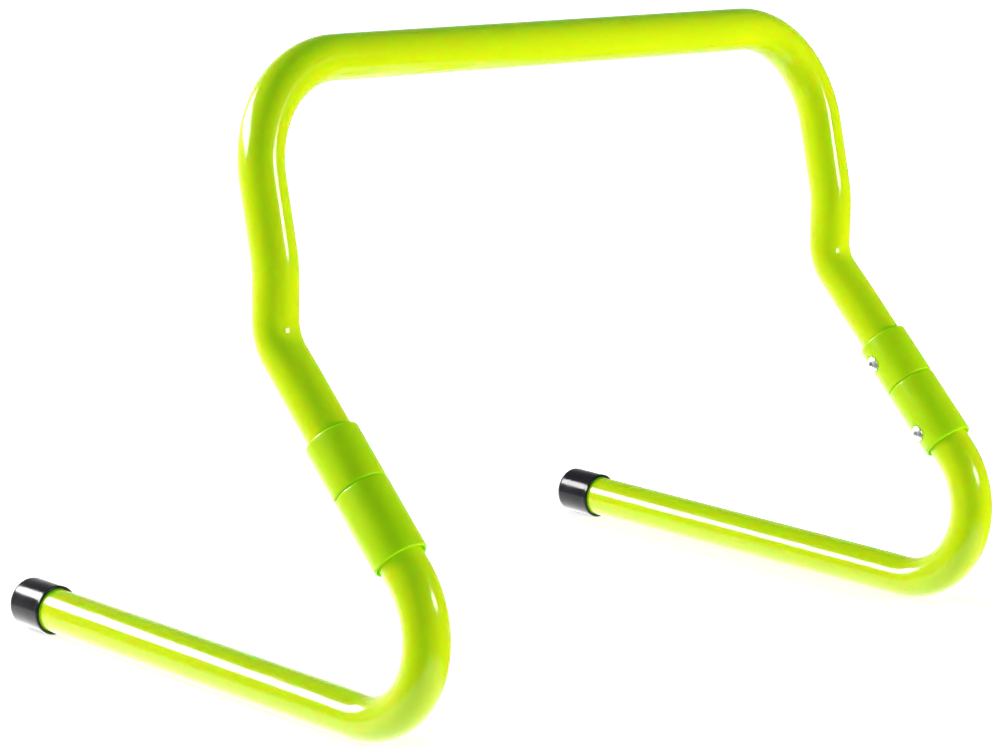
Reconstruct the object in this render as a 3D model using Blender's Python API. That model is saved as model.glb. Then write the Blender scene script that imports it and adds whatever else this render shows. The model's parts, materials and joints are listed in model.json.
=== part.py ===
"""Folding agility hurdle, modelled in metres with +Z up.

One bent plastic tube makes the hoop: the top bar, two posts and two slanted stubs. Each stub ends
in a two-part collar. The lower collar holds a J-shaped foot and turns about the slanted leg's own
axis, so that the foot swings out and up beside its post when the hurdle is put away.

+X runs along the top bar, the bends of the feet point to -Y and the feet run back to +Y. The
origin is on the floor, in the middle of the width and of the depth.
"""

import math

import bmesh
import bpy
from mathutils import Matrix, Vector

# ---- Driving dimensions, in metres and degrees ----

TUBE_RADIUS = 0.0105
TUBE_WALL = 0.0020
GAP = 0.0003  # clearance between neighbouring pieces

# Hoop
HALF_WIDTH = 0.1898  # from the middle of the hurdle to the centreline of a post
BAR_HEIGHT = 0.2872  # centreline of the top bar above the floor
BAR_SETBACK = 0.0231  # how far the top bar stands behind the kinks
KINK_HEIGHT = 0.1685  # where post and slanted leg would meet, above the floor
POST_BEND_HEIGHT = 0.2015  # slight bend in the post, with its setback behind the kink
POST_BEND_SETBACK = 0.0010
LEG_SLANT = 45.0  # slanted leg, from the vertical

# Feet
FOOT_LENGTH = 0.3375  # from where leg and foot would meet to the rear end of the cap

# Bend radii of the tube's centreline
CORNER_RADIUS = 0.0515
POST_BEND_RADIUS = 0.0550
KINK_RADIUS = 0.0220
FOOT_BEND_RADIUS = 0.0413

# Swivel collars, measured along the leg from the seam between the two
COLLAR_RADIUS = 0.0127
UPPER_COLLAR_LENGTH = 0.0275
LOWER_COLLAR_LENGTH = 0.0370
COLLAR_EDGE = 0.0006  # chamfer of the collars' outer edges
KINK_TO_COLLAR = 0.0528
UPPER_WEB = 0.0060  # inner walls that the pivot bolt clamps
LOWER_WEB = 0.0075
WASHER_RECESS_RADIUS = 0.0093
WASHER_RECESS_DEPTH = 0.0016

# Pivot bolt and what is on it
BOLT_RADIUS = 0.0030
BOLT_HOLE_RADIUS = BOLT_RADIUS + GAP
BOLT_HEAD_HEIGHT = 0.0040
HEX_ACROSS_FLATS = 0.0100
FLAT_WASHER_RADIUS = 0.0060
FLAT_WASHER_THICKNESS = 0.0012
SWIVEL_WASHER_RADIUS = 0.0090
SPRING_WASHER_RADIUS = 0.0054
SPRING_WASHER_THICKNESS = 0.0014
SPRING_WASHER_RISE = 0.0006
SPRING_WASHER_SPLIT = 20.0  # angle of the split
NUT_HEIGHT = 0.0060
BOLT_STICKS_OUT = 0.0020

# Blind rivets that hold each collar half to its tube
RIVET_FROM_COLLAR_END = 0.0105
RIVET_TURN = 22.0  # from straight inwards towards the back of the leg
RIVET_SHANK_RADIUS = 0.0020
RIVET_HEAD_RADIUS = 0.0040
RIVET_HEAD_HEIGHT = 0.0017
RIVET_BORE_RADIUS = 0.0013
RIVET_SEAT = 0.0120  # flat seat in the collar, from the leg's axis
RIVET_SEAT_RADIUS = 0.0044
RIVET_SEAT_CUT = 0.0034  # how far above the seat its cutter reaches
RIVET_HOLE_REACH = 0.0044  # depth of the hole below the tube's outer surface
RIVET_BULB_RADIUS = 0.0029
RIVET_BULB_START = 0.0047  # below the underside of the head
RIVET_BULB_EDGE = 0.0006
RIVET_LENGTH = 0.0072
MANDREL_RADIUS = 0.0010
MANDREL_HEAD_RADIUS = 0.0019
MANDREL_HEAD_LENGTH = 0.0014
MANDREL_BREAK = 0.0006  # where the mandrel snapped, above the underside of the head

# End caps
CAP_RADIUS = 0.0120
CAP_LENGTH = 0.0230
CAP_FLOOR = 0.0025
CAP_EDGE = 0.0028  # rounding of the closed end
CAP_RIM_EDGE = 0.0004

# Facets
TUBE_SIDES = 24
SMALL_SIDES = 12
DOME_STEPS = 3  # levels in a rivet's domed head
CAP_EDGE_STEPS = 4
BEND_STEP = 15.0  # largest turn between two rings of a bent tube, in degrees
SHARP_ANGLE = 32.0

SIDES = {"left": -1.0, "right": 1.0}

LIME = (0.55, 0.83, 0.0)
GREEN = (0.36, 0.64, 0.0)
BLACK = (0.012, 0.013, 0.016)
ALUMINIUM = (0.78, 0.79, 0.80)
STEEL = (0.60, 0.61, 0.62)
NYLON = (0.85, 0.84, 0.80)


# ---- Layout worked out from the dimensions ----

# A flat side of the faceted tube or cap lies this part of its radius from the axis.
FLAT_SHARE = math.cos(math.pi / TUBE_SIDES)
SLANT = math.radians(LEG_SLANT)
UP_THE_LEG = Vector((0.0, math.sin(SLANT), math.cos(SLANT)))

# The cap is thicker than the tube, so the foot rises a little towards it.
FOOT_BEND_TANGENT = FOOT_BEND_RADIUS * math.tan(math.radians(90 + LEG_SLANT) / 2)
FOOT_SPAN = FOOT_LENGTH - CAP_LENGTH - FOOT_BEND_TANGENT
FOOT_RISE = math.asin((CAP_RADIUS - TUBE_RADIUS) * FLAT_SHARE / FOOT_SPAN)
TOE_HEIGHT = TUBE_RADIUS * FLAT_SHARE - FOOT_BEND_TANGENT * math.sin(FOOT_RISE)
ALONG_THE_FOOT = Vector((0.0, math.cos(FOOT_RISE), math.sin(FOOT_RISE)))

# Depth: the toe is where leg and foot would meet. The origin is halfway from front to back.
TOE_FROM_KINK = (KINK_HEIGHT - TOE_HEIGHT) * math.tan(SLANT)
FRONT_FROM_TOE = FOOT_BEND_TANGENT - FOOT_BEND_RADIUS - TUBE_RADIUS
KINK_Y = TOE_FROM_KINK - (FRONT_FROM_TOE + FOOT_LENGTH) / 2


def leg_point(sign, from_seam):
    """A point on the axis of a slanted leg, from_seam metres up the leg from the collar seam."""
    kink = Vector((sign * HALF_WIDTH, KINK_Y, KINK_HEIGHT))
    return kink - UP_THE_LEG * (KINK_TO_COLLAR + UPPER_COLLAR_LENGTH - from_seam)


def leg_matrix(sign):
    """The frame of a swivel: at the collar seam, with +Z up the leg and +X along the world's."""
    return Matrix.Translation(leg_point(sign, 0.0)) @ Matrix.Rotation(-SLANT, 4, "X")


def toe_point(sign):
    """Where the axes of the leg and the foot would meet."""
    return Vector((sign * HALF_WIDTH, KINK_Y - TOE_FROM_KINK, TOE_HEIGHT))


def bent_path(corners, radii):
    """Stations (point, direction) along a line through corners, rounded with an arc at each."""
    stations = [(corners[0], (corners[1] - corners[0]).normalized())]
    for before, corner, after, radius in zip(corners, corners[1:], corners[2:], radii):
        start = (corner - before).normalized()
        end = (after - corner).normalized()
        turn = start.angle(end)
        tangent = radius * math.tan(turn / 2)
        centre = corner + (end - start).normalized() * radius / math.cos(turn / 2)
        axis = start.cross(end).normalized()
        spoke = corner - start * tangent - centre
        steps = math.ceil(math.degrees(turn) / BEND_STEP)
        for step in range(steps + 1):
            swing = Matrix.Rotation(turn * step / steps, 3, axis)
            stations.append((centre + swing @ spoke, swing @ start))
    stations.append((corners[-1], (corners[-1] - corners[-2]).normalized()))
    return stations


# ---- Mesh tools ----


def new_object(name, bm, matrix, colour, roughness, metallic, parent=None):
    """An object with a finish of its own, at matrix in the world. The mesh is in local units."""
    mesh = bpy.data.meshes.new(name)
    bm.to_mesh(mesh)
    bm.free()
    mesh.shade_smooth()
    mesh.set_sharp_from_angle(angle=math.radians(SHARP_ANGLE))
    obj = bpy.data.objects.new(name, mesh)
    bpy.context.scene.collection.objects.link(obj)
    obj.parent = parent
    start = parent.matrix_basis.inverted() if parent else Matrix.Identity(4)
    obj.matrix_basis = start @ matrix
    finish = bpy.data.materials.new(name + "_finish")
    finish.use_nodes = True
    shader = finish.node_tree.nodes["Principled BSDF"]
    shader.inputs["Base Color"].default_value = (*colour, 1.0)
    shader.inputs["Roughness"].default_value = roughness
    shader.inputs["Metallic"].default_value = metallic
    mesh.materials.append(finish)
    return obj


def plastic(name, bm, matrix, colour, roughness, parent=None):
    return new_object(name, bm, matrix, colour, roughness, 0.0, parent)


def metal(name, bm, matrix, colour, roughness, parent=None):
    return new_object(name, bm, matrix, colour, roughness, 1.0, parent)


def new_axis(name, matrix):
    """An empty that marks a joint: what turns with it is parented to it."""
    empty = bpy.data.objects.new(name, None)
    empty.empty_display_size = 0.03
    empty.matrix_basis = matrix
    bpy.context.scene.collection.objects.link(empty)
    return empty


def join_rings(bm, rings, closed):
    """Quads between successive rings of vertices, which run round the way that faces them out."""
    following = rings[1:] + rings[:1] if closed else rings[1:]
    for lower, upper in zip(rings, following):
        count = len(lower)
        for i in range(count):
            after = (i + 1) % count
            corners = dict.fromkeys((lower[i], lower[after], upper[after], upper[i]))
            if len(corners) > 2:
                bm.faces.new(list(corners))


def tube_mesh(stations, to_local):
    """A hollow tube with open ends along stations given in the world, in local coordinates."""
    bm = bmesh.new()
    turn_only = to_local.to_3x3()
    outer = []
    inner = []
    side = Vector((1.0, 0.0, 0.0))
    if abs(side.dot(stations[0][1])) > 0.5:
        side = Vector((0.0, 0.0, 1.0))
    for point, along in stations:
        side = (side - along * side.dot(along)).normalized()
        across = along.cross(side)
        for rings, radius in ((outer, TUBE_RADIUS), (inner, TUBE_RADIUS - TUBE_WALL)):
            ring = []
            for i in range(TUBE_SIDES):
                angle = (i + 0.5) * math.tau / TUBE_SIDES
                offset = side * (radius * math.cos(angle)) + across * (radius * math.sin(angle))
                ring.append(bm.verts.new(to_local @ point + turn_only @ offset))
            rings.append(ring)
    join_rings(bm, outer + inner[::-1], closed=True)
    return bm


def round_level(height, radius, sides=SMALL_SIDES):
    """One level of a turned piece: its height and its radius at each of its sides."""
    return height, [radius] * sides


def hex_level(height, across_flats, sides=TUBE_SIDES):
    """A hexagonal level. The number of sides is a multiple of 6, so the flats stay flat."""
    radii = []
    for i in range(sides):
        from_flat = (i * math.tau / sides) % (math.pi / 3) - math.pi / 6
        radii.append(across_flats / 2 / math.cos(from_flat))
    return height, radii


def turned_mesh(levels):
    """A piece about local Z. The levels run round its section, up the outside first.

    A level of radius 0 closes the shape on the axis. Otherwise the last level joins the first.
    """
    bm = bmesh.new()
    rings = []
    for height, radii in levels:
        if max(radii) == 0.0:
            rings.append([bm.verts.new((0.0, 0.0, height))] * len(radii))
            continue
        ring = []
        for i, radius in enumerate(radii):
            angle = (i + 0.5) * math.tau / len(radii)
            ring.append(bm.verts.new((radius * math.cos(angle), radius * math.sin(angle), height)))
        rings.append(ring)
    join_rings(bm, rings, closed=True)
    return bm


def ring_mesh(bottom, top, inner, outer, sides=SMALL_SIDES):
    """A flat ring about local Z."""
    corners = ((bottom, inner), (bottom, outer), (top, outer), (top, inner))
    return turned_mesh([round_level(height, radius, sides) for height, radius in corners])


def arc_levels(centre_height, centre_radius, radius, end, steps):
    """Levels along an arc of a turned piece's section, from outwards to end degrees upwards."""
    levels = []
    for step in range(steps + 1):
        angle = math.radians(end * step / steps)
        height = centre_height + radius * math.sin(angle)
        levels.append(round_level(height, centre_radius + radius * math.cos(angle), TUBE_SIDES))
    return levels


# ---- The pieces ----


def make_hoop():
    """The hoop's tube from inside one upper collar to inside the other."""
    stub_end = UPPER_WEB + GAP
    half = []
    for sign in (-1.0, 1.0):
        x = sign * HALF_WIDTH
        half.append([
            leg_point(sign, stub_end),
            Vector((x, KINK_Y, KINK_HEIGHT)),
            Vector((x, KINK_Y + POST_BEND_SETBACK, POST_BEND_HEIGHT)),
            Vector((x, KINK_Y + BAR_SETBACK, BAR_HEIGHT)),
        ])
    corners = half[0] + half[1][::-1]
    bends = [KINK_RADIUS, POST_BEND_RADIUS, CORNER_RADIUS]
    stations = bent_path(corners, bends + bends[::-1])
    middle = Vector((0.0, KINK_Y + BAR_SETBACK, BAR_HEIGHT))
    place = Matrix.Translation(middle)
    bm = tube_mesh(stations, place.inverted())
    return plastic("hoop_tube", bm, place, LIME, 0.25)


def make_foot_tube(name, sign, swivel):
    """Slanted leg below the seam, the foot bend and the foot, up to the floor of its cap."""
    toe = toe_point(sign)
    corners = [
        leg_point(sign, -(LOWER_WEB + GAP)),
        toe,
        toe + ALONG_THE_FOOT * (FOOT_LENGTH - CAP_FLOOR - GAP),
    ]
    stations = bent_path(corners, [FOOT_BEND_RADIUS])
    place = leg_matrix(sign)
    bm = tube_mesh(stations, place.inverted())
    return plastic(name, bm, place, LIME, 0.25, swivel)


def make_upper_collar(name, sign):
    """Cup over the end of the hoop's stub, with an inner wall for the pivot bolt's head."""
    bottom = GAP / 2
    top = UPPER_COLLAR_LENGTH
    bore = TUBE_RADIUS + GAP
    section = (
        (bottom, BOLT_HOLE_RADIUS),
        (bottom, COLLAR_RADIUS - COLLAR_EDGE),
        (bottom + COLLAR_EDGE, COLLAR_RADIUS),
        (top - COLLAR_EDGE, COLLAR_RADIUS),
        (top, COLLAR_RADIUS - COLLAR_EDGE),
        (top, bore),
        (UPPER_WEB, bore),
        (UPPER_WEB, BOLT_HOLE_RADIUS),
    )
    bm = turned_mesh([round_level(height, radius, TUBE_SIDES) for height, radius in section])
    return plastic(name, bm, leg_matrix(sign), GREEN, 0.4)


def make_lower_collar(name, sign, swivel):
    """Cup over the top of the foot's tube, with a recess for the swivel washer at the seam."""
    top = -GAP / 2
    bottom = -LOWER_COLLAR_LENGTH
    bore = TUBE_RADIUS + GAP
    section = (
        (bottom, bore),
        (bottom, COLLAR_RADIUS - COLLAR_EDGE),
        (bottom + COLLAR_EDGE, COLLAR_RADIUS),
        (top - COLLAR_EDGE, COLLAR_RADIUS),
        (top, COLLAR_RADIUS - COLLAR_EDGE),
        (top, WASHER_RECESS_RADIUS),
        (top - WASHER_RECESS_DEPTH, WASHER_RECESS_RADIUS),
        (top - WASHER_RECESS_DEPTH, BOLT_HOLE_RADIUS),
        (-LOWER_WEB, BOLT_HOLE_RADIUS),
        (-LOWER_WEB, bore),
    )
    bm = turned_mesh([round_level(height, radius, TUBE_SIDES) for height, radius in section])
    return plastic(name, bm, leg_matrix(sign), GREEN, 0.4, swivel)


def make_end_cap(name, sign, swivel):
    """Slip-on cap. Its local Z runs along the foot from the open rim to the rounded end."""
    bore = TUBE_RADIUS + GAP
    inner_floor = CAP_LENGTH - CAP_FLOOR
    levels = [
        round_level(inner_floor, 0.0, TUBE_SIDES),
        round_level(inner_floor, bore, TUBE_SIDES),
        round_level(0.0, bore, TUBE_SIDES),
        round_level(0.0, CAP_RADIUS - CAP_RIM_EDGE, TUBE_SIDES),
        round_level(CAP_RIM_EDGE, CAP_RADIUS, TUBE_SIDES),
    ]
    edge_height = CAP_LENGTH - CAP_EDGE
    levels += arc_levels(edge_height, CAP_RADIUS - CAP_EDGE, CAP_EDGE, 90, CAP_EDGE_STEPS)
    levels.append(round_level(CAP_LENGTH, 0.0, TUBE_SIDES))
    rim = toe_point(sign) + ALONG_THE_FOOT * (FOOT_LENGTH - CAP_LENGTH)
    place = Matrix.Translation(rim) @ Matrix.Rotation(FOOT_RISE - math.pi / 2, 4, "X")
    return plastic(name, turned_mesh(levels), place, BLACK, 0.2, swivel)


def make_pivot(side_name, sign):
    """The bolt on the swivel's axis with its nut and washers, all held by the hoop."""
    place = leg_matrix(sign)
    washer_bottom = UPPER_WEB + GAP
    head_bottom = washer_bottom + FLAT_WASHER_THICKNESS + GAP
    nut_washer_top = -(LOWER_WEB + GAP)
    spring_top = nut_washer_top - FLAT_WASHER_THICKNESS - GAP
    nut_top = spring_top - SPRING_WASHER_THICKNESS - SPRING_WASHER_RISE - GAP
    bolt_end = nut_top - NUT_HEIGHT - BOLT_STICKS_OUT

    swivel_bottom = -(GAP / 2 + WASHER_RECESS_DEPTH) + GAP
    swivel_washer = ring_mesh(
        swivel_bottom, -GAP / 2, BOLT_HOLE_RADIUS, SWIVEL_WASHER_RADIUS, TUBE_SIDES
    )
    plastic(side_name + "_swivel_washer", swivel_washer, place, NYLON, 0.45)

    flat_ring = (BOLT_HOLE_RADIUS, FLAT_WASHER_RADIUS)
    bolt_washer = ring_mesh(washer_bottom, washer_bottom + FLAT_WASHER_THICKNESS, *flat_ring)
    metal(side_name + "_bolt_washer", bolt_washer, place, STEEL, 0.35)
    nut_washer = ring_mesh(nut_washer_top - FLAT_WASHER_THICKNESS, nut_washer_top, *flat_ring)
    metal(side_name + "_nut_washer", nut_washer, place, STEEL, 0.35)

    spring = spring_washer_mesh(spring_top - SPRING_WASHER_THICKNESS - SPRING_WASHER_RISE)
    metal(side_name + "_spring_washer", spring, place, STEEL, 0.3)

    nut = turned_mesh([
        round_level(nut_top - NUT_HEIGHT, BOLT_HOLE_RADIUS, TUBE_SIDES),
        hex_level(nut_top - NUT_HEIGHT, HEX_ACROSS_FLATS),
        hex_level(nut_top, HEX_ACROSS_FLATS),
        round_level(nut_top, BOLT_HOLE_RADIUS, TUBE_SIDES),
    ])
    metal(side_name + "_lock_nut", nut, place, STEEL, 0.3)

    bolt = turned_mesh([
        round_level(bolt_end, 0.0, TUBE_SIDES),
        round_level(bolt_end, BOLT_RADIUS - GAP, TUBE_SIDES),
        round_level(bolt_end + GAP, BOLT_RADIUS, TUBE_SIDES),
        round_level(head_bottom, BOLT_RADIUS, TUBE_SIDES),
        hex_level(head_bottom, HEX_ACROSS_FLATS),
        hex_level(head_bottom + BOLT_HEAD_HEIGHT, HEX_ACROSS_FLATS),
        round_level(head_bottom + BOLT_HEAD_HEIGHT, 0.0, TUBE_SIDES),
    ])
    metal(side_name + "_pivot_bolt", bolt, place, STEEL, 0.3)


def spring_washer_mesh(bottom):
    """A split ring of rectangular section whose ends stand SPRING_WASHER_RISE apart."""
    bm = bmesh.new()
    steps = SMALL_SIDES
    sweep = math.tau - math.radians(SPRING_WASHER_SPLIT)
    sections = []
    for step in range(steps + 1):
        angle = sweep * step / steps
        low = bottom + SPRING_WASHER_RISE * step / steps
        section = []
        for radius, height in (
            (BOLT_HOLE_RADIUS, low),
            (BOLT_HOLE_RADIUS, low + SPRING_WASHER_THICKNESS),
            (SPRING_WASHER_RADIUS, low + SPRING_WASHER_THICKNESS),
            (SPRING_WASHER_RADIUS, low),
        ):
            place = (radius * math.cos(angle), radius * math.sin(angle), height)
            section.append(bm.verts.new(place))
        sections.append(section)
    join_rings(bm, sections, closed=False)
    bm.faces.new(sections[0][::-1])
    bm.faces.new(sections[-1])
    return bm


def rivet_matrix(sign, from_seam):
    """The frame of a rivet: on the collar's rivet seat, with +Z straight out of the leg."""
    inwards = Matrix.Rotation(-sign * math.pi / 2, 4, "Y")
    towards_back = Matrix.Rotation(-sign * math.radians(RIVET_TURN), 4, "Z")
    lift = Matrix.Translation((0.0, 0.0, RIVET_SEAT + GAP))
    return leg_matrix(sign) @ Matrix.Translation((0, 0, from_seam)) @ towards_back @ inwards @ lift


def make_rivet(name, sign, from_seam, cut_pieces, parent=None):
    """A set blind rivet, what is left of its mandrel, and the hole through collar and tube."""
    place = rivet_matrix(sign, from_seam)

    head_top = RIVET_HEAD_HEIGHT
    bulb_end = -RIVET_LENGTH
    section = [
        (bulb_end, RIVET_BORE_RADIUS),
        (bulb_end, RIVET_BULB_RADIUS - RIVET_BULB_EDGE),
        (bulb_end + RIVET_BULB_EDGE, RIVET_BULB_RADIUS),
        (-RIVET_BULB_START, RIVET_BULB_RADIUS),
        (-RIVET_BULB_START, RIVET_SHANK_RADIUS),
        (0.0, RIVET_SHANK_RADIUS),
        (0.0, RIVET_HEAD_RADIUS),
    ]
    spread = RIVET_HEAD_RADIUS - RIVET_BORE_RADIUS
    for step in range(1, DOME_STEPS):
        angle = math.pi / 2 * step / DOME_STEPS
        radius = RIVET_BORE_RADIUS + spread * math.cos(angle)
        section.append((head_top * math.sin(angle), radius))
    section.append((head_top, RIVET_BORE_RADIUS + GAP))
    section.append((head_top - GAP, RIVET_BORE_RADIUS))
    body = turned_mesh([round_level(height, radius) for height, radius in section])
    metal(name, body, place, ALUMINIUM, 0.3, parent)

    mandrel_top = bulb_end - GAP
    mandrel = turned_mesh([
        round_level(mandrel_top - MANDREL_HEAD_LENGTH, 0.0),
        round_level(mandrel_top - MANDREL_HEAD_LENGTH, MANDREL_HEAD_RADIUS - GAP),
        round_level(mandrel_top - MANDREL_HEAD_LENGTH + GAP, MANDREL_HEAD_RADIUS),
        round_level(mandrel_top, MANDREL_HEAD_RADIUS),
        round_level(mandrel_top, MANDREL_RADIUS),
        round_level(MANDREL_BREAK, MANDREL_RADIUS),
        round_level(MANDREL_BREAK, 0.0),
    ])
    metal(name + "_mandrel", mandrel, place, STEEL, 0.4, parent)

    seat = -GAP
    hole_end = seat - (RIVET_SEAT - TUBE_RADIUS) - RIVET_HOLE_REACH
    cutter_bm = turned_mesh([
        round_level(hole_end, 0.0),
        round_level(hole_end, RIVET_SHANK_RADIUS + GAP),
        round_level(seat, RIVET_SHANK_RADIUS + GAP),
        round_level(seat, RIVET_SEAT_RADIUS),
        round_level(RIVET_SEAT_CUT, RIVET_SEAT_RADIUS),
        round_level(RIVET_SEAT_CUT, 0.0),
    ])
    cutter = metal(name + "_cutter", cutter_bm, place, STEEL, 0.5, parent)
    cutter.hide_render = True
    cutter.display_type = "WIRE"
    for piece in cut_pieces:
        cut = piece.modifiers.new(name + "_hole", "BOOLEAN")
        cut.operation = "DIFFERENCE"
        cut.object = cutter


def clear_scene():
    for obj in list(bpy.data.objects):
        bpy.data.objects.remove(obj, do_unlink=True)


def main():
    clear_scene()
    hoop = make_hoop()
    upper_rivet = UPPER_COLLAR_LENGTH - RIVET_FROM_COLLAR_END
    lower_rivet = RIVET_FROM_COLLAR_END - LOWER_COLLAR_LENGTH
    for side_name, sign in SIDES.items():
        upper_collar = make_upper_collar(side_name + "_upper_collar", sign)
        make_rivet(side_name + "_upper_rivet", sign, upper_rivet, (upper_collar, hoop))
        make_pivot(side_name, sign)

        swivel = new_axis(side_name + "_foot_swivel_axis", leg_matrix(sign))
        lower_collar = make_lower_collar(side_name + "_lower_collar", sign, swivel)
        foot_tube = make_foot_tube(side_name + "_foot_tube", sign, swivel)
        cut_pieces = (lower_collar, foot_tube)
        make_rivet(side_name + "_lower_rivet", sign, lower_rivet, cut_pieces, swivel)
        make_end_cap(side_name + "_end_cap", sign, swivel)


main()
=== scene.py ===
"""Agility hurdle: the detailed look over the CAD frame, on a pale studio floor.

Everything is in metres in the row frame: +X along the top bar, -Y to the front, where the feet
bend, and +Z up. "Left" and "right" are the sides at -X and +X.
"""

import json
import math

import bmesh
import bpy
from mathutils import Matrix, Vector


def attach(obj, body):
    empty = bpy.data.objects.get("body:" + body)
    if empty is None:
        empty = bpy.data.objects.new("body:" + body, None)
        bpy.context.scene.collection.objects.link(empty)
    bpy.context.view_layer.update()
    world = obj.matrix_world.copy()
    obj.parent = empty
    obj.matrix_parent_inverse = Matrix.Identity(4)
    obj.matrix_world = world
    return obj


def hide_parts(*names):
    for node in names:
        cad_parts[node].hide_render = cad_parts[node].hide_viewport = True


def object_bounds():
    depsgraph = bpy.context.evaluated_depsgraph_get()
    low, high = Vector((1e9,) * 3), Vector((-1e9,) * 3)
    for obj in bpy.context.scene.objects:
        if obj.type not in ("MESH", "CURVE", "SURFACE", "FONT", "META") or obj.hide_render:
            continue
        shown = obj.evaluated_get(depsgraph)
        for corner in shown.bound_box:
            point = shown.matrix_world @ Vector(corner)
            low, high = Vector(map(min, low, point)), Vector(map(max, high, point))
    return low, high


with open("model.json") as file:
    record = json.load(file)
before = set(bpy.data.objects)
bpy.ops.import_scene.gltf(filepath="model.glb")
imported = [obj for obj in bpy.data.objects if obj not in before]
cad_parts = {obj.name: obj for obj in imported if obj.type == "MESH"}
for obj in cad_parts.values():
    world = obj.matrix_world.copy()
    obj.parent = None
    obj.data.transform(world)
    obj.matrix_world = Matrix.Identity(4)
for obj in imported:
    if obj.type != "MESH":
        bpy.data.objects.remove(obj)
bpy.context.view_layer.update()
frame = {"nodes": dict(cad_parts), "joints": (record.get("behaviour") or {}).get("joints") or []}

# ---- Dimensions, the same as in the CAD source ----

TUBE_RADIUS = 0.0105
TUBE_WALL = 0.0020
GAP = 0.0003  # clearance between neighbouring pieces

HALF_WIDTH = 0.1898  # from the middle of the hurdle to the centreline of a post
BAR_HEIGHT = 0.2872  # centreline of the top bar above the floor
BAR_SETBACK = 0.0231  # how far the top bar stands behind the kinks
POST_BEND_HEIGHT = 0.2015  # slight bend in the post, with its setback behind the kink
POST_BEND_SETBACK = 0.0010
LEG_SLANT = 45.0  # degrees between the slanted leg and the vertical
FOOT_LENGTH = 0.3375  # from where leg and foot would meet to the rear end of the cap

# Bend radii of the tube's centreline
CORNER_RADIUS = 0.0515
POST_BEND_RADIUS = 0.0550
KINK_RADIUS = 0.0220
FOOT_BEND_RADIUS = 0.0413

# Swivel collars, measured along the leg from the seam between the two
COLLAR_RADIUS = 0.0127
UPPER_COLLAR_LENGTH = 0.0275
LOWER_COLLAR_LENGTH = 0.0370
KINK_TO_COLLAR = 0.0528
UPPER_WEB = 0.0060  # inner walls that the pivot bolt clamps
LOWER_WEB = 0.0075
WASHER_RECESS_RADIUS = 0.0093
WASHER_RECESS_DEPTH = 0.0016
BOLT_HOLE_RADIUS = 0.0033

# Blind rivets
RIVET_FROM_COLLAR_END = 0.0105
RIVET_TURN = 22.0  # degrees from straight inwards towards the back of the leg
RIVET_SHANK_RADIUS = 0.0020
RIVET_HEAD_RADIUS = 0.0040
RIVET_HEAD_HEIGHT = 0.0017
RIVET_BORE_RADIUS = 0.0013
RIVET_SEAT = 0.0120  # flat seat in the collar, from the leg's axis
RIVET_SEAT_RADIUS = 0.0044
RIVET_SEAT_CUT = 0.0034  # how far above the seat its cutter reaches
RIVET_HOLE_REACH = 0.0044  # depth of the hole below the tube's outer surface
RIVET_BULB_RADIUS = 0.0029
RIVET_BULB_START = 0.0047  # below the underside of the head
RIVET_BULB_EDGE = 0.0006
RIVET_LENGTH = 0.0072
MANDREL_RADIUS = 0.0010
MANDREL_HEAD_RADIUS = 0.0019
MANDREL_HEAD_LENGTH = 0.0014
MANDREL_BREAK = 0.0006  # where the mandrel snapped, above the underside of the head

# End caps
CAP_RADIUS = 0.0120
CAP_LENGTH = 0.0230
CAP_FLOOR = 0.0025
CAP_EDGE = 0.0028  # rounding of the closed end
FACET_SHARE = math.cos(math.pi / 24)  # the CAD's flat sides lie this part of a radius out

# ---- Detail that only the visual model has ----

COLLAR_EDGE = 0.0010  # rounding of a collar's outer rims
WEB_EDGE = 0.0005  # rounding at the bottom of a collar's bore
MOUTH_FLARE = 0.0009  # widening of a collar's bore at its mouth
MOUTH_DEPTH = 0.0030
MOUTH_EDGE = 0.0002  # rounding of the edge at the mouth of a bore

CAP_LIP = 0.0002  # thicker band round a cap's open rim
CAP_LIP_LENGTH = 0.0022
CAP_LIP_EDGE = 0.0003
CAP_RIM_EDGE = 0.0005
CAP_FLOOR_EDGE = 0.0008

# A rivet's domed head: shares of its height and radius, then sizes
RIVET_RIM_HEIGHT = 0.35
RIVET_SHOULDER_HEIGHT = 0.80
RIVET_SHOULDER_RADIUS = 0.62
RIVET_DOME_EDGE = 0.0018
RIVET_RIM_EDGE = 0.0003
RIVET_TOP_EDGE = 0.0002
RIVET_FUNNEL_WIDTH = 0.0004  # the bore opens in a small funnel
RIVET_FUNNEL_DEPTH = 0.0005
MANDREL_HEAD_EDGE = 0.0004
MANDREL_TIP_SHARE = 0.5  # radius of the ragged tip, as a share of the mandrel's
MANDREL_TIP_SLOPE = 0.0003
MANDREL_TIP_HOLLOW = 0.0002
FINE_EDGE = 0.0001

# Share of the radius by which a bend flattens the tube, and dents the inside of the bend
CORNER_SQUEEZE = (0.020, 0.000)
POST_BEND_SQUEEZE = (0.006, 0.000)
KINK_SQUEEZE = (0.045, 0.050)
FOOT_SQUEEZE = (0.030, 0.012)
SQUEEZE_FADE = 0.016  # metres beyond a bend over which its squeeze dies out
SQUEEZE_CORE = 0.5  # share of a bend's half length that has the full squeeze
SQUEEZE_BULGE = 0.6  # share of the flattening that comes out sideways

TUBE_SIDES = 72
TURNED_SIDES = 96
SMALL_SIDES = 48
ARC_STEP = 3.0  # degrees between two rings of a bend
RUN_STEP = 0.005  # metres between two rings of a straight run
FILLET_STEPS = 5
SHARP_ANGLE = math.radians(40.0)
SOFT_EDGE = 0.00012  # bevel of the pivot parts
SOFT_EDGE_STEPS = 2

SIDES = {"left": -1.0, "right": 1.0}

# ---- Camera, studio and colours ----

CAMERA_TARGET = Vector((-0.0520, -0.0359, 0.1372))
CAMERA_DISTANCE = 1.5267
CAMERA_AZIMUTH = -45.255  # this and the next two in degrees
CAMERA_ELEVATION = 11.363
CAMERA_ROLL = 1.727
CAMERA_LENS = 117.40
SENSOR_WIDTH = 36.0

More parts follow.
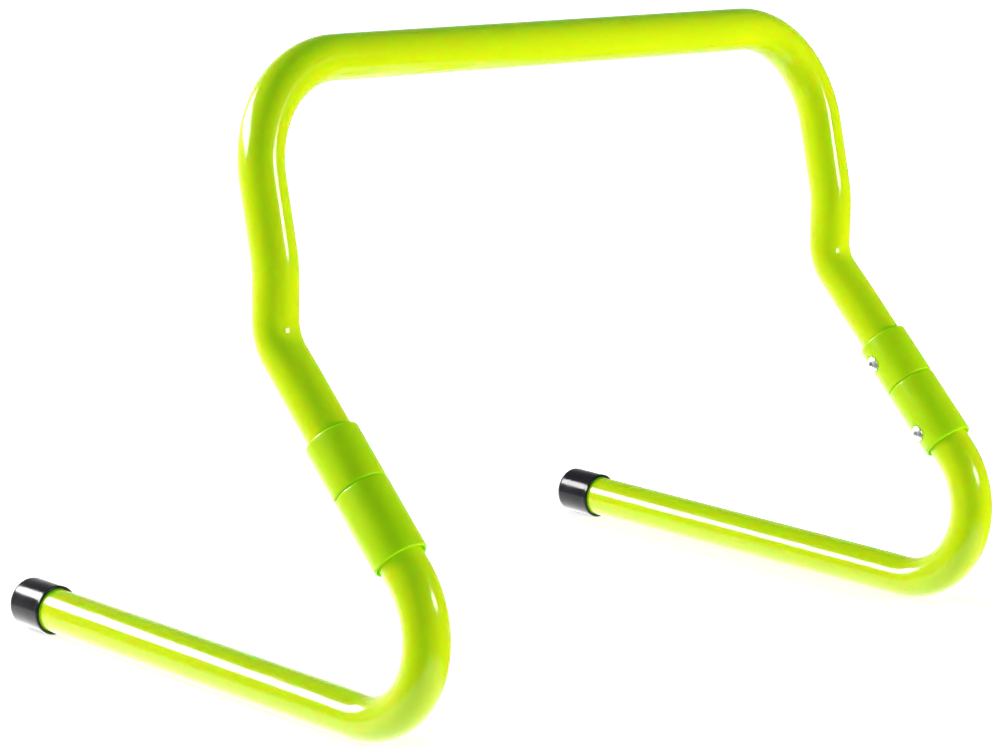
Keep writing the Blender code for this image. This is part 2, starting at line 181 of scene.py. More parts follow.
LIME = (0.545, 0.51, 0.0005)
LIME_DEEP = (0.51, 0.49, 0.0003)
GREEN = (0.455, 0.53, 0.0005)
GREEN_DEEP = (0.415, 0.51, 0.0003)
# Colour of a glow painted into the tube and collar plastics, which lightens their shaded sides
PAINTED_GREEN_GLOW = (0.02, 1.0, 0.0)
BLACK = (0.012, 0.011, 0.015)
DUST = (0.07, 0.07, 0.075)
ALUMINIUM = (0.84, 0.845, 0.86)
STEEL = (0.52, 0.53, 0.54)
DULLED_SHARE = 0.72  # brightness that dulled metal keeps
NYLON = (0.80, 0.79, 0.74)
NYLON_RUBBED = (0.42, 0.41, 0.38)
FLOOR_PALE = (0.80, 0.80, 0.80)
FLOOR_SHADE = (0.78, 0.78, 0.78)

# How far red, green and blue light travel inside the plastic, times its subsurface scale
SUBSURFACE_REACH = (0.08, 1.0, 0.05)

STUDIO_CENTRE = (0.0, 0.0, 0.14)
# Soft boxes that light the surfaces but don't show in them: place, size in metres and watts
FILLS = {
    "left_fill": ((-1.05, 1.18, 0.66), (0.90, 0.90), 34.0),
    "back_fill": ((1.00, 1.20, 0.80), (0.80, 0.80), 13.0),
    "front_fill": ((1.41, -1.70, 0.38), (0.90, 0.60), 50.0),
}
# Cards that only show as reflections: place, what they face, size in metres and watts
CARDS = {
    "left_card": ((-0.85, 1.05, 0.78), STUDIO_CENTRE, (1.30, 0.46), 54.0),
    "front_card": ((0.32, -0.97, 0.50), (0.0, 0.0, 0.25), (0.24, 0.24), 4.6),
}
# One such card lies under each foot and faces up
FOOT_CARD_MIDDLE = -0.04  # along Y
FOOT_CARD_SIZE = (0.12, 0.46)
FOOT_CARD_WATTS = 0.20

ROOM_LIGHT = 0.10
SWEEP_DIRECTION = Vector((0.20, 0.80, -0.57))  # where the room's light comes from mostly
SWEEP_LIGHT = 1.8
SWEEP_FOCUS = 3.0  # a higher power makes it narrower

FLOOR_HALF = 9.0
FLOOR_RAMP = (0.3, 1.6)  # distances from the middle over which the floor's own glow rises
FLOOR_GLOW = (0.56, 1.00)
DOME_SHARE = 0.98  # radius of the backdrop, as a share of the floor's half


# ---- Layout ----


def leg_frames(joints):
    """Side name to the frame of its swivel: at the collar seam, with +Z up the leg."""
    frames = {}
    for joint in joints:
        side_name = joint["name"].split("_")[0]
        up = Vector(joint["axis"]) * (1.0 if joint["axis"][2] > 0 else -1.0)
        across = Vector((1.0, 0.0, 0.0))
        turn = Matrix((across, up.cross(across), up)).transposed().to_4x4()
        frames[side_name] = Matrix.Translation(joint["pos_m"]) @ turn
    return frames


def foot_layout(leg):
    """Where leg and foot would meet, the foot's direction, and the angle at which it rises."""
    tangent = FOOT_BEND_RADIUS * math.tan(math.radians(90 + LEG_SLANT) / 2)
    span = FOOT_LENGTH - CAP_LENGTH - tangent
    rise = math.asin((CAP_RADIUS - TUBE_RADIUS) * FACET_SHARE / span)
    toe_height = TUBE_RADIUS * FACET_SHARE - tangent * math.sin(rise)
    up = leg.col[2].to_3d()
    seam = leg.translation
    toe = seam - up * ((seam.z - toe_height) / up.z)
    return toe, Vector((0.0, math.cos(rise), math.sin(rise))), rise


def bent_path(corners, bends):
    """Rings' places along a line through corners, rounded at each inner corner.

    bends gives (radius, squeeze) for each. Returns stations (point, direction, distance) and
    the bends as (distance of the middle, half length, axis, squeeze).
    """
    stations = []
    shaped = []
    travelled = 0.0

    def run(start, end):
        nonlocal travelled
        length = (end - start).length
        steps = max(1, math.ceil(length / RUN_STEP))
        direction = (end - start).normalized()
        for step in range(steps + 1):
            share = step / steps
            stations.append((start.lerp(end, share), direction, travelled + length * share))
        travelled += length

    reached = corners[0]
    for before, corner, after, (radius, squeeze) in zip(corners, corners[1:], corners[2:], bends):
        start = (corner - before).normalized()
        end = (after - corner).normalized()
        turn = start.angle(end)
        tangent = radius * math.tan(turn / 2)
        run(reached, corner - start * tangent)
        centre = corner + (end - start).normalized() * radius / math.cos(turn / 2)
        axis = start.cross(end).normalized()
        spoke = corner - start * tangent - centre
        steps = math.ceil(math.degrees(turn) / ARC_STEP)
        for step in range(1, steps):
            swing = Matrix.Rotation(turn * step / steps, 3, axis)
            along = travelled + radius * turn * step / steps
            stations.append((centre + swing @ spoke, swing @ start, along))
        shaped.append((travelled + radius * turn / 2, radius * turn / 2, axis, squeeze))
        travelled += radius * turn
        reached = corner + end * tangent
    run(reached, corners[-1])
    return stations, shaped


def squeezed(radial, direction, distance, shaped):
    """Share of its radius that a bent tube keeps in a radial direction, and the bend's weight."""
    share = 1.0
    weight = 0.0
    for middle, half_length, axis, (flatten, dent) in shaped:
        core = half_length * SQUEEZE_CORE
        beyond = max(0.0, abs(distance - middle) - core)
        fade = max(0.0, 1.0 - beyond / (half_length - core + SQUEEZE_FADE))
        fade = fade * fade * (3.0 - 2.0 * fade)
        inward = radial.dot(axis.cross(direction))
        sideways = radial.dot(axis)
        share += fade * flatten * (SQUEEZE_BULGE * sideways * sideways - inward * inward)
        share -= fade * dent * max(0.0, inward) ** 4
        weight = max(weight, fade)
    return share, weight


# ---- Mesh tools ----


def join_rings(bm, rings, closed):
    """Faces between successive rings of vertices: triangles where a ring is a single point."""
    following = rings[1:] + rings[:1] if closed else rings[1:]
    for lower, upper in zip(rings, following):
        count = len(lower)
        for i in range(count):
            after = (i + 1) % count
            corners = dict.fromkeys((lower[i], lower[after], upper[after], upper[i]))
            if len(corners) > 2:
                bm.faces.new(list(corners))


def new_piece(name, bm, matrix, material):
    """A smooth-shaded object that stays sharp at its real edges."""
    mesh = bpy.data.meshes.new(name)
    bmesh.ops.recalc_face_normals(bm, faces=bm.faces)
    bm.to_mesh(mesh)
    bm.free()
    mesh.materials.append(material)
    piece = bpy.data.objects.new(name, mesh)
    piece.matrix_world = matrix
    bpy.context.scene.collection.objects.link(piece)
    smooth(mesh)
    return piece


def smooth(mesh):
    mesh.shade_smooth()
    mesh.set_sharp_from_angle(angle=SHARP_ANGLE)


def tube_piece(name, corners, bends, material):
    """A hollow bent tube. The attribute "straight" holds where each vertex lies along the tube
    before bending, for the grain of the plastic, and "bend" how strongly it was bent."""
    stations, shaped = bent_path(corners, bends)
    bm = bmesh.new()
    straight = bm.verts.layers.float_vector.new("straight")
    bend = bm.verts.layers.float.new("bend")
    shells = {TUBE_RADIUS: [], TUBE_RADIUS - TUBE_WALL: []}
    side = Vector((1.0, 0.0, 0.0))
    if abs(side.dot(stations[0][1])) > 0.5:
        side = Vector((0.0, 0.0, 1.0))
    for point, direction, distance in stations:
        side = (side - direction * side.dot(direction)).normalized()
        across = direction.cross(side)
        for radius, rings in shells.items():
            ring = []
            for i in range(TUBE_SIDES):
                angle = i * math.tau / TUBE_SIDES
                radial = side * math.cos(angle) + across * math.sin(angle)
                share, weight = squeezed(radial, direction, distance, shaped)
                vertex = bm.verts.new(point + radial * (radius * share))
                vertex[straight] = (radius * math.cos(angle), radius * math.sin(angle), distance)
                vertex[bend] = weight
                ring.append(vertex)
            rings.append(ring)
    outer, inner = shells.values()
    join_rings(bm, outer + inner[::-1], closed=True)
    return new_piece(name, bm, Matrix.Identity(4), material)


def filleted(corners, closed):
    """An outline of (height, radius, rounding) corners as plain (height, radius) points."""
    points = []
    count = len(corners)
    for i, (height, radius, rounding) in enumerate(corners):
        corner = Vector((height, radius))
        if rounding == 0.0 or (not closed and i in (0, count - 1)):
            points.append((height, radius))
            continue
        to_before = (Vector(corners[i - 1][:2]) - corner).normalized()
        to_after = (Vector(corners[(i + 1) % count][:2]) - corner).normalized()
        half = to_before.angle(to_after) / 2
        tangent = rounding / math.tan(half)
        centre = corner + (to_before + to_after).normalized() * (rounding / math.sin(half))
        start = corner + to_before * tangent - centre
        end = corner + to_after * tangent - centre
        sweep = start.angle_signed(end)
        for step in range(FILLET_STEPS + 1):
            spoke = Matrix.Rotation(-sweep * step / FILLET_STEPS, 2) @ start
            points.append(tuple(centre + spoke))
    return points


def turned_bmesh(outline, sides):
    """A turned piece about local Z. A point of radius 0 closes the outline on the axis."""
    bm = bmesh.new()
    rings = []
    for height, radius in outline:
        if radius == 0.0:
            rings.append([bm.verts.new((0.0, 0.0, height))] * sides)
            continue
        ring = []
        for i in range(sides):
            angle = i * math.tau / sides
            ring.append(bm.verts.new((radius * math.cos(angle), radius * math.sin(angle), height)))
        rings.append(ring)
    join_rings(bm, rings, closed=outline[0][1] > 0.0)
    return bm


def turned_piece(name, corners, matrix, material, sides=TURNED_SIDES):
    closed = corners[0][1] > 0.0
    return new_piece(name, turned_bmesh(filleted(corners, closed), sides), matrix, material)


def cut(piece, cutter):
    """Takes the cutter's shape out of the piece, for good."""
    modifier = piece.modifiers.new("cut", "BOOLEAN")
    modifier.object = cutter
    bpy.context.view_layer.update()
    evaluated = piece.evaluated_get(bpy.context.evaluated_depsgraph_get())
    mesh = bpy.data.meshes.new_from_object(evaluated)
    piece.modifiers.remove(modifier)
    old = piece.data
    piece.data = mesh
    bpy.data.meshes.remove(old)
    mesh.name = piece.name
    smooth(mesh)


# ---- Materials ----


class Recipe:
    """The node tree of a material or world, with short ways to add and link nodes."""

    def __init__(self, owner, shader_name):
        owner.use_nodes = True
        self.owner = owner
        self.tree = owner.node_tree
        self.shader = self.tree.nodes[shader_name]

    @classmethod
    def material(cls, name, metallic=0.0):
        recipe = cls(bpy.data.materials.new(name), "Principled BSDF")
        recipe.set(Metallic=metallic)
        return recipe

    def add(self, kind, inputs=(), **settings):
        node = self.tree.nodes.new(kind)
        for name, value in settings.items():
            setattr(node, name, value)
        for socket, value in dict(inputs).items():
            self.feed(node.inputs[socket], value)
        return node

    def feed(self, socket, value):
        if isinstance(value, bpy.types.NodeSocket):
            self.tree.links.new(value, socket)
        else:
            socket.default_value = value

    def set(self, **values):
        for name, value in values.items():
            self.feed(self.shader.inputs[name.replace("_", " ")], value)

    def place(self, stretch=(1.0, 1.0, 1.0), attribute=None):
        """Coordinates on the piece, in metres, each multiplied by its stretch."""
        if attribute:
            source = self.add("ShaderNodeAttribute", attribute_name=attribute).outputs["Vector"]
        else:
            source = self.add("ShaderNodeTexCoord").outputs["Object"]
        return self.add("ShaderNodeMapping", {"Vector": source, "Scale": stretch}).outputs[0]

    def noise(self, vector, scale, detail=2.0, roughness=0.5):
        inputs = {"Vector": vector, "Scale": scale, "Detail": detail, "Roughness": roughness}
        return self.add("ShaderNodeTexNoise", inputs).outputs["Fac"]

    def remap(self, value, source, target):
        """The value with its range source = (low, high) spread over the range target."""
        inputs = {
            "Value": value,
            "From Min": source[0],
            "From Max": source[1],
            "To Min": target[0],
            "To Max": target[1],
        }
        return self.add("ShaderNodeMapRange", inputs).outputs["Result"]

    def maths(self, operation, first, second):
        node = self.add("ShaderNodeMath", {0: first, 1: second}, operation=operation)
        return node.outputs[0]

    def mix(self, share, first, second):
        """A blend of two colours, each (r, g, b) or a socket."""
        node = self.add("ShaderNodeMix", data_type="RGBA")
        for index, value in {0: share, 6: first, 7: second}.items():
            self.feed(node.inputs[index], (*value, 1.0) if isinstance(value, tuple) else value)
        return node.outputs[2]

    def bump(self, height, distance, below=None):
        inputs = {"Height": height, "Distance": distance}
        if below:
            inputs["Normal"] = below
        return self.add("ShaderNodeBump", inputs).outputs["Normal"]


def lime_tube_material():
    """Glossy extruded plastic: faint lines along the tube, a soft ripple, handling marks and a
    painted green glow that lightens its shaded sides.
    """
    r = Recipe.material("lime_tube")
    along = r.place((1.0, 1.0, 0.012), "straight")
    even = r.place(attribute="straight")
    bend = r.add("ShaderNodeAttribute", attribute_name="bend").outputs["Fac"]

    clouds = r.noise(even, scale=26.0, detail=3.0)
    streaks = r.noise(along, scale=900.0)
    colour = r.mix(r.remap(clouds, (0.35, 0.65), (0.0, 0.35)), LIME, LIME_DEEP)
    colour = r.mix(r.remap(streaks, (0.3, 0.7), (0.0, 0.10)), colour, LIME_DEEP)
    warmed = r.maths("MULTIPLY", bend, 0.12)
    colour = r.mix(warmed, colour, LIME_DEEP)

    long_marks = r.place((1.0, 1.0, 0.15), "straight")
    marks = r.noise(long_marks, scale=420.0, detail=4.0, roughness=0.6)
    handled = r.remap(marks, (0.56, 0.70), (0.0, 0.10))
    gloss = r.remap(streaks, (0.3, 0.7), (0.11, 0.16))
    gloss = r.maths("ADD", gloss, handled)
    gloss = r.maths("ADD", gloss, r.maths("MULTIPLY", bend, 0.03))

    lines = r.bump(streaks, distance=0.000015)
    ripple = r.bump(r.noise(even, scale=120.0), distance=0.00006, below=lines)
    r.set(Base_Color=colour, Roughness=gloss, Normal=ripple, IOR=1.50)
    r.set(Subsurface_Weight=1.0, Subsurface_Scale=0.005, Subsurface_Radius=SUBSURFACE_REACH)
    # Painted light: the tube's surface glows green on its own, lightening its shaded sides
    r.set(Emission_Color=(*PAINTED_GREEN_GLOW, 1.0), Emission_Strength=0.21)
    return r.owner


def green_collar_material():
    """Moulded plastic, a shade deeper and less glossy than the tube, with a fine grain and a
    painted green glow that lightens its shaded sides.
    """
    r = Recipe.material("green_collar")
    even = r.place()
    clouds = r.noise(even, scale=60.0, detail=3.0)
    colour = r.mix(r.remap(clouds, (0.35, 0.65), (0.0, 0.5)), GREEN, GREEN_DEEP)
    flow = r.noise(r.place((1.0, 1.0, 0.2)), scale=300.0, detail=3.0)
    gloss = r.remap(flow, (0.3, 0.7), (0.19, 0.25))
    grain = r.bump(r.noise(even, scale=2600.0), distance=0.00001)
    sink = r.bump(r.noise(even, scale=110.0, detail=1.0), distance=0.00005, below=grain)
    r.set(Base_Color=colour, Roughness=gloss, Normal=sink)
    r.set(IOR=1.50, Specular_IOR_Level=0.35)
    r.set(Subsurface_Weight=0.8, Subsurface_Scale=0.0035, Subsurface_Radius=SUBSURFACE_REACH)
    # Painted light: the collar's surface glows green on its own, lightening its shaded sides
    r.set(Emission_Color=(*PAINTED_GREEN_GLOW, 1.0), Emission_Strength=0.18)
    return r.owner


def black_cap_material():
    """Shiny black vinyl with a slight ripple, dust and rubbed patches."""
    r = Recipe.material("black_cap")
    even = r.place()
    dust = r.noise(even, scale=1500.0, detail=5.0, roughness=0.7)
    rubbed = r.noise(even, scale=90.0, detail=4.0)
    colour = r.mix(r.remap(dust, (0.66, 0.78), (0.0, 0.4)), BLACK, DUST)
    worn = r.remap(rubbed, (0.35, 0.7), (0.12, 0.24))
    dusty = r.remap(dust, (0.6, 0.8), (0.0, 0.2))
    gloss = r.maths("ADD", worn, dusty)
    ripple = r.bump(r.noise(even, scale=150.0), distance=0.00010)
    r.set(Base_Color=colour, Roughness=gloss, Normal=ripple)
    r.set(IOR=1.52, Specular_IOR_Level=0.25)
    return r.owner


def metal_material(name, colour, gloss, stretch):
    """Bare or plated metal with fine working marks and some dulling."""
    r = Recipe.material(name, metallic=1.0)
    worked = r.noise(r.place(stretch), scale=2500.0, detail=3.0, roughness=0.6)
    dulled = r.noise(r.place(), scale=420.0, detail=4.0)
    darker = tuple(DULLED_SHARE * part for part in colour)
    tint = r.mix(r.remap(dulled, (0.35, 0.7), (0.0, 1.0)), colour, darker)
    marked = r.remap(worked, (0.3, 0.7), gloss)
    hazy = r.remap(dulled, (0.5, 0.75), (0.0, 0.15))
    shine = r.maths("ADD", marked, hazy)
    r.set(Base_Color=tint, Roughness=shine, Normal=r.bump(worked, distance=0.000008))
    return r.owner


def nylon_material():
    """Off-white nylon with a fine grain and grey rub marks."""
    r = Recipe.material("nylon_washer")
    even = r.place()
    rubbed = r.noise(even, scale=700.0, detail=4.0, roughness=0.6)
    colour = r.mix(r.remap(rubbed, (0.5, 0.75), (0.0, 0.5)), NYLON, NYLON_RUBBED)
    gloss = r.remap(rubbed, (0.3, 0.7), (0.38, 0.55))
    grain = r.bump(r.noise(even, scale=3000.0), distance=0.00001)
    r.set(Base_Color=colour, Roughness=gloss, Normal=grain, IOR=1.53)
    return r.owner


def floor_material():
    """Matt pale board with a barely visible mottle, which glows white away from the hurdle."""
    r = Recipe.material("studio_floor")
    mottle = r.noise(r.place(), scale=14.0, detail=4.0)
    colour = r.mix(r.remap(mottle, (0.3, 0.7), (0.0, 1.0)), FLOOR_PALE, FLOOR_SHADE)
    position = r.add("ShaderNodeNewGeometry").outputs["Position"]
    distance = r.add("ShaderNodeVectorMath", {0: position}, operation="LENGTH").outputs["Value"]
    glow = r.remap(distance, FLOOR_RAMP, FLOOR_GLOW)
    grain = r.bump(r.noise(r.place(), scale=900.0), distance=0.00005)
    r.set(Base_Color=colour, Roughness=0.75, Normal=grain)
    r.set(Emission_Color=(1.0, 1.0, 1.0, 1.0), Emission_Strength=glow)
    return r.owner


# ---- The pieces ----


def ride_as(piece, body, slot_name, *cad_nodes):
    """The piece moves with the body and stands for the CAD nodes, which are hidden."""
    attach(piece, body)
    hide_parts(*cad_nodes)
    return piece


def hoop_tube(legs, material):
    up = legs["left"].col[2].to_3d()
    half = []
    for side_name in SIDES:
        seam = legs[side_name].translation
        kink = seam + up * (KINK_TO_COLLAR + UPPER_COLLAR_LENGTH)
        half.append([
            seam + up * (UPPER_WEB + GAP),
            kink,
            Vector((kink.x, kink.y + POST_BEND_SETBACK, POST_BEND_HEIGHT)),
            Vector((kink.x, kink.y + BAR_SETBACK, BAR_HEIGHT)),
        ])
    bends = [
        (KINK_RADIUS, KINK_SQUEEZE),
        (POST_BEND_RADIUS, POST_BEND_SQUEEZE),
        (CORNER_RADIUS, CORNER_SQUEEZE),
    ]
    corners = half[0] + half[1][::-1]
    return tube_piece("hoop", corners, bends + bends[::-1], material)


def foot_tube(side_name, leg, material):
    toe, along, _ = foot_layout(leg)
    top = leg.translation - leg.col[2].to_3d() * (LOWER_WEB + GAP)
    end = toe + along * (FOOT_LENGTH - CAP_FLOOR - GAP)
    return tube_piece(
        side_name + "_foot", [top, toe, end], [(FOOT_BEND_RADIUS, FOOT_SQUEEZE)], material
    )


def upper_collar(side_name, leg, material):
    bottom = GAP / 2
    top = UPPER_COLLAR_LENGTH
    bore = TUBE_RADIUS + GAP
    corners = [
        (bottom, BOLT_HOLE_RADIUS, 0.0),
        (bottom, COLLAR_RADIUS, COLLAR_EDGE),
        (top, COLLAR_RADIUS, COLLAR_EDGE),
        (top, bore + MOUTH_FLARE, MOUTH_EDGE),
        (top - MOUTH_DEPTH, bore, 0.0),
        (UPPER_WEB, bore, WEB_EDGE),
        (UPPER_WEB, BOLT_HOLE_RADIUS, 0.0),
    ]
    return turned_piece(side_name + "_collar_upper", corners, leg, material)


def lower_collar(side_name, leg, material):
    top = -GAP / 2
    bottom = -LOWER_COLLAR_LENGTH
    bore = TUBE_RADIUS + GAP
    corners = [
        (bottom, bore + MOUTH_FLARE, MOUTH_EDGE),
        (bottom, COLLAR_RADIUS, COLLAR_EDGE),
        (top, COLLAR_RADIUS, COLLAR_EDGE),
        (top, WASHER_RECESS_RADIUS, MOUTH_EDGE),
        (top - WASHER_RECESS_DEPTH, WASHER_RECESS_RADIUS, 0.0),
        (top - WASHER_RECESS_DEPTH, BOLT_HOLE_RADIUS, 0.0),
        (-LOWER_WEB, BOLT_HOLE_RADIUS, 0.0),
        (-LOWER_WEB, bore, WEB_EDGE),
        (bottom + MOUTH_DEPTH, bore, 0.0),
    ]
    return turned_piece(side_name + "_collar_lower", corners, leg, material)


def end_cap(side_name, leg, material):
    toe, along, rise = foot_layout(leg)
    rim = toe + along * (FOOT_LENGTH - CAP_LENGTH)
    matrix = Matrix.Translation(rim) @ Matrix.Rotation(rise - math.pi / 2, 4, "X")
    inner_floor = CAP_LENGTH - CAP_FLOOR
    bore = TUBE_RADIUS + GAP
    corners = [
        (inner_floor, 0.0, 0.0),
        (inner_floor, bore, CAP_FLOOR_EDGE),
        (0.0, bore, MOUTH_EDGE),
        (0.0, CAP_RADIUS, CAP_RIM_EDGE),
        (CAP_LIP_LENGTH, CAP_RADIUS, CAP_LIP_EDGE),
        (CAP_LIP_LENGTH + CAP_LIP, CAP_RADIUS - CAP_LIP, CAP_LIP_EDGE),
        (CAP_LENGTH, CAP_RADIUS - CAP_LIP, CAP_EDGE),
        (CAP_LENGTH, 0.0, 0.0),
    ]
    return turned_piece(side_name + "_cap", corners, matrix, material)


def rivet_matrix(leg, sign, from_seam):
    """The frame of a rivet: on the collar's rivet seat, with +Z straight out of the leg."""
    inwards = Matrix.Rotation(-sign * math.pi / 2, 4, "Y")
    towards_back = Matrix.Rotation(-sign * math.radians(RIVET_TURN), 4, "Z")
    lift = Matrix.Translation((0.0, 0.0, RIVET_SEAT + GAP))
    return leg @ Matrix.Translation((0.0, 0.0, from_seam)) @ towards_back @ inwards @ lift


def rivet(name, matrix, aluminium, steel):
    """A set blind rivet: domed flange, bulb behind the wall, and the snapped mandrel inside."""
    rim_height = RIVET_RIM_HEIGHT * RIVET_HEAD_HEIGHT
    shoulder_height = RIVET_SHOULDER_HEIGHT * RIVET_HEAD_HEIGHT
    shoulder_radius = RIVET_SHOULDER_RADIUS * RIVET_HEAD_RADIUS
    body = turned_piece(name, [
        (-RIVET_LENGTH, RIVET_BORE_RADIUS, 0.0),
        (-RIVET_LENGTH, RIVET_BULB_RADIUS, RIVET_BULB_EDGE),
        (-RIVET_BULB_START, RIVET_BULB_RADIUS, RIVET_BULB_EDGE),
        (-RIVET_BULB_START, RIVET_SHANK_RADIUS, 0.0),
        (0.0, RIVET_SHANK_RADIUS, 0.0),
        (0.0, RIVET_HEAD_RADIUS, FINE_EDGE),
        (rim_height, RIVET_HEAD_RADIUS, RIVET_RIM_EDGE),
        (shoulder_height, shoulder_radius, RIVET_DOME_EDGE),
        (RIVET_HEAD_HEIGHT, RIVET_BORE_RADIUS + RIVET_FUNNEL_WIDTH, RIVET_TOP_EDGE),
        (RIVET_HEAD_HEIGHT - RIVET_FUNNEL_DEPTH, RIVET_BORE_RADIUS, FINE_EDGE),
    ], matrix, aluminium, SMALL_SIDES)
    top = -RIVET_LENGTH - GAP
    mandrel = turned_piece(name + "_mandrel", [
        (top - MANDREL_HEAD_LENGTH, 0.0, 0.0),
        (top - MANDREL_HEAD_LENGTH, MANDREL_HEAD_RADIUS, MANDREL_HEAD_EDGE),
        (top, MANDREL_HEAD_RADIUS, 0.0),
        (top, MANDREL_RADIUS, 0.0),
        (MANDREL_BREAK - MANDREL_TIP_SLOPE, MANDREL_RADIUS, FINE_EDGE),
        (MANDREL_BREAK, MANDREL_TIP_SHARE * MANDREL_RADIUS, FINE_EDGE),
        (MANDREL_BREAK - MANDREL_TIP_HOLLOW, 0.0, 0.0),
    ], matrix, steel, SMALL_SIDES)
    return body, mandrel


def rivet_cutter(matrix):
    """The hole through collar and tube, and the flat seat under the rivet's head."""
    hole_end = -GAP - (RIVET_SEAT - TUBE_RADIUS) - RIVET_HOLE_REACH
    outline = [
        (hole_end, 0.0),
        (hole_end, RIVET_SHANK_RADIUS + GAP),
        (-GAP, RIVET_SHANK_RADIUS + GAP),
        (-GAP, RIVET_SEAT_RADIUS),
        (RIVET_SEAT_CUT, RIVET_SEAT_RADIUS),
        (RIVET_SEAT_CUT, 0.0),
    ]
    mesh = bpy.data.meshes.new("rivet_cutter")
    bm = turned_bmesh(outline, SMALL_SIDES)
    bmesh.ops.recalc_face_normals(bm, faces=bm.faces)
    bm.to_mesh(mesh)
    bm.free()
    cutter = bpy.data.objects.new("rivet_cutter", mesh)
    cutter.matrix_world = matrix
    bpy.context.scene.collection.objects.link(cutter)
    return cutter


def add_rivet(name, cad_name, body, matrix, pierced, finishes):
    """A rivet and its mandrel on the body, in a hole cut through each of the pierced pieces."""
    cutter = rivet_cutter(matrix)
    for piece in pierced:
        cut(piece, cutter)
    bpy.data.meshes.remove(cutter.data)
    head, mandrel = rivet(name, matrix, finishes["rivet_aluminium"], finishes["plated_steel"])
    ride_as(head, body, "rivet_aluminium", cad_name)
    ride_as(mandrel, body, "plated_steel", cad_name + "_mandrel")


def build_side(side_name, sign, leg, hoop, finishes):
    """Everything below one kink: collars, rivets, foot and cap."""
    foot_body = side_name + "_foot"
    upper = upper_collar(side_name, leg, finishes["green_collar"])
    lower = lower_collar(side_name, leg, finishes["green_collar"])
    foot = foot_tube(side_name, leg, finishes["lime_tube"])
    cap = end_cap(side_name, leg, finishes["black_cap"])

    high = rivet_matrix(leg, sign, UPPER_COLLAR_LENGTH - RIVET_FROM_COLLAR_END)
    low = rivet_matrix(leg, sign, RIVET_FROM_COLLAR_END - LOWER_COLLAR_LENGTH)
    high_name, high_cad = side_name + "_rivet_high", side_name + "_upper_rivet"
    low_name, low_cad = side_name + "_rivet_low", side_name + "_lower_rivet"
    add_rivet(high_name, high_cad, "hoop", high, (upper, hoop), finishes)
    add_rivet(low_name, low_cad, foot_body, low, (lower, foot), finishes)
    ride_as(upper, "hoop", "green_collar", side_name + "_upper_collar")
    ride_as(lower, foot_body, "green_collar", side_name + "_lower_collar")
    ride_as(foot, foot_body, "lime_tube", side_name + "_foot_tube")
    ride_as(cap, foot_body, "black_cap", side_name + "_end_cap")


def finish_inner_parts(nodes, finishes):
    """New finishes and softened edges for the pivot parts, which stay the CAD's own."""
    for name, node in nodes.items():
        if node.hide_render:
            continue
        slot_name = "nylon_washer" if name.endswith("swivel_washer") else "plated_steel"
        node.data.materials.clear()
        node.data.materials.append(finishes[slot_name])
        edge = node.modifiers.new("soft_edges", "BEVEL")
        edge.width = SOFT_EDGE
        edge.segments = SOFT_EDGE_STEPS
        edge.limit_method = "ANGLE"
        edge.angle_limit = SHARP_ANGLE


# ---- Studio ----


def area_light(name, location, target, size, watts, matt=True, shine=True):
    """A soft box. Without matt it only shows as a reflection, without shine only as light."""
    light = bpy.data.lights.new(name, "AREA")
    light.shape = "RECTANGLE"
    light.size, light.size_y = size
    light.energy = watts
    lamp = bpy.data.objects.new(name, light)
    lamp.location = location
    lamp.rotation_mode = "QUATERNION"
    lamp.rotation_quaternion = (Vector(target) - Vector(location)).to_track_quat("-Z", "Y")
    lamp.visible_camera = False
    lamp.visible_diffuse = matt
    lamp.visible_glossy = shine
    bpy.context.scene.collection.objects.link(lamp)


def studio_world():
    """A dim room whose light comes mostly from behind and below, as from a lit paper sweep."""
    r = Recipe(bpy.data.worlds.new("studio"), "Background")
    direction = r.add("ShaderNodeTexCoord").outputs["Generated"]
    inputs = {0: direction, 1: SWEEP_DIRECTION}
    facing = r.add("ShaderNodeVectorMath", inputs, operation="DOT_PRODUCT").outputs["Value"]
    lobe = r.maths("POWER", r.maths("MAXIMUM", facing, 0.0), SWEEP_FOCUS)
    level = r.maths("ADD", r.maths("MULTIPLY", lobe, SWEEP_LIGHT), ROOM_LIGHT)
    r.set(Color=(1.0, 1.0, 1.0, 1.0), Strength=level)
    bpy.context.scene.world = r.owner


def make_floor():
    """The floor, which reflections don't show, and a card under each foot that only they show."""
    bm = bmesh.new()
    bmesh.ops.create_grid(bm, x_segments=8, y_segments=8, size=FLOOR_HALF)
    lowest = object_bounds()[0].z
    floor = new_piece("floor", bm, Matrix.Translation((0.0, 0.0, lowest)), floor_material())
    floor.visible_glossy = False
    for side_name, sign in SIDES.items():
        place = (sign * HALF_WIDTH, FOOT_CARD_MIDDLE, lowest)
        above = (sign * HALF_WIDTH, FOOT_CARD_MIDDLE, 1.0)
        card_name = side_name + "_foot_card"
        area_light(card_name, place, above, FOOT_CARD_SIZE, FOOT_CARD_WATTS, matt=False)


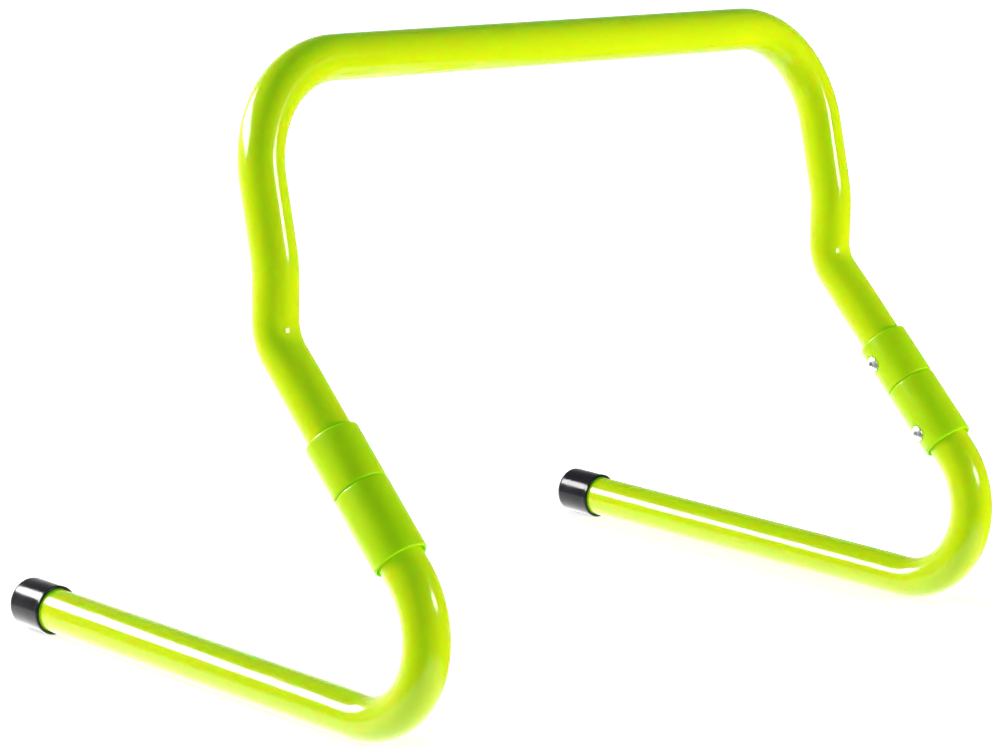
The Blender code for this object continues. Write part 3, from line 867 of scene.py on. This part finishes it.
def make_backdrop():
    """A white dome round everything, which only the camera sees."""
    r = Recipe.material("studio_backdrop")
    r.set(Base_Color=(0.0, 0.0, 0.0, 1.0), Roughness=1.0, Specular_IOR_Level=0.0)
    r.set(Emission_Color=(1.0, 1.0, 1.0, 1.0), Emission_Strength=1.0)
    bm = bmesh.new()
    radius = FLOOR_HALF * DOME_SHARE
    bmesh.ops.create_uvsphere(bm, u_segments=48, v_segments=24, radius=radius)
    dome = new_piece("backdrop", bm, Matrix.Identity(4), r.owner)
    dome.visible_diffuse = False
    dome.visible_glossy = False
    dome.visible_transmission = False
    dome.visible_shadow = False


def make_studio():
    for name, (place, size, watts) in FILLS.items():
        area_light(name, place, STUDIO_CENTRE, size, watts, shine=False)
    for name, (place, target, size, watts) in CARDS.items():
        area_light(name, place, target, size, watts, matt=False)
    studio_world()
    make_floor()
    make_backdrop()


def make_camera():
    azimuth = math.radians(CAMERA_AZIMUTH)
    elevation = math.radians(CAMERA_ELEVATION)
    roll = math.radians(CAMERA_ROLL)
    back = Vector((
        math.sin(azimuth) * math.cos(elevation),
        -math.cos(azimuth) * math.cos(elevation),
        math.sin(elevation),
    ))
    level = Vector((math.cos(azimuth), math.sin(azimuth), 0.0))
    upright = back.cross(level)
    right = math.cos(roll) * level + math.sin(roll) * upright
    up = math.cos(roll) * upright - math.sin(roll) * level
    turn = Matrix((right, up, back)).transposed().to_4x4()

    data = bpy.data.cameras.new("camera")
    data.lens = CAMERA_LENS
    data.sensor_width = SENSOR_WIDTH
    camera = bpy.data.objects.new("camera", data)
    camera.matrix_world = Matrix.Translation(CAMERA_TARGET + back * CAMERA_DISTANCE) @ turn
    bpy.context.scene.collection.objects.link(camera)
    bpy.context.scene.camera = camera


def main():
    legs = leg_frames(frame["joints"])
    pressed = (1.0, 1.0, 0.2)
    turned = (0.3, 1.0, 1.0)
    finishes = {
        "lime_tube": lime_tube_material(),
        "green_collar": green_collar_material(),
        "black_cap": black_cap_material(),
        "rivet_aluminium": metal_material("rivet_aluminium", ALUMINIUM, (0.28, 0.40), pressed),
        "plated_steel": metal_material("plated_steel", STEEL, (0.28, 0.42), turned),
        "nylon_washer": nylon_material(),
    }
    hoop = hoop_tube(legs, finishes["lime_tube"])
    for side_name, sign in SIDES.items():
        build_side(side_name, sign, legs[side_name], hoop, finishes)
    ride_as(hoop, "hoop", "lime_tube", "hoop_tube")
    finish_inner_parts(frame["nodes"], finishes)

    make_studio()
    make_camera()
    bpy.context.scene.view_settings.view_transform = "Standard"


main()
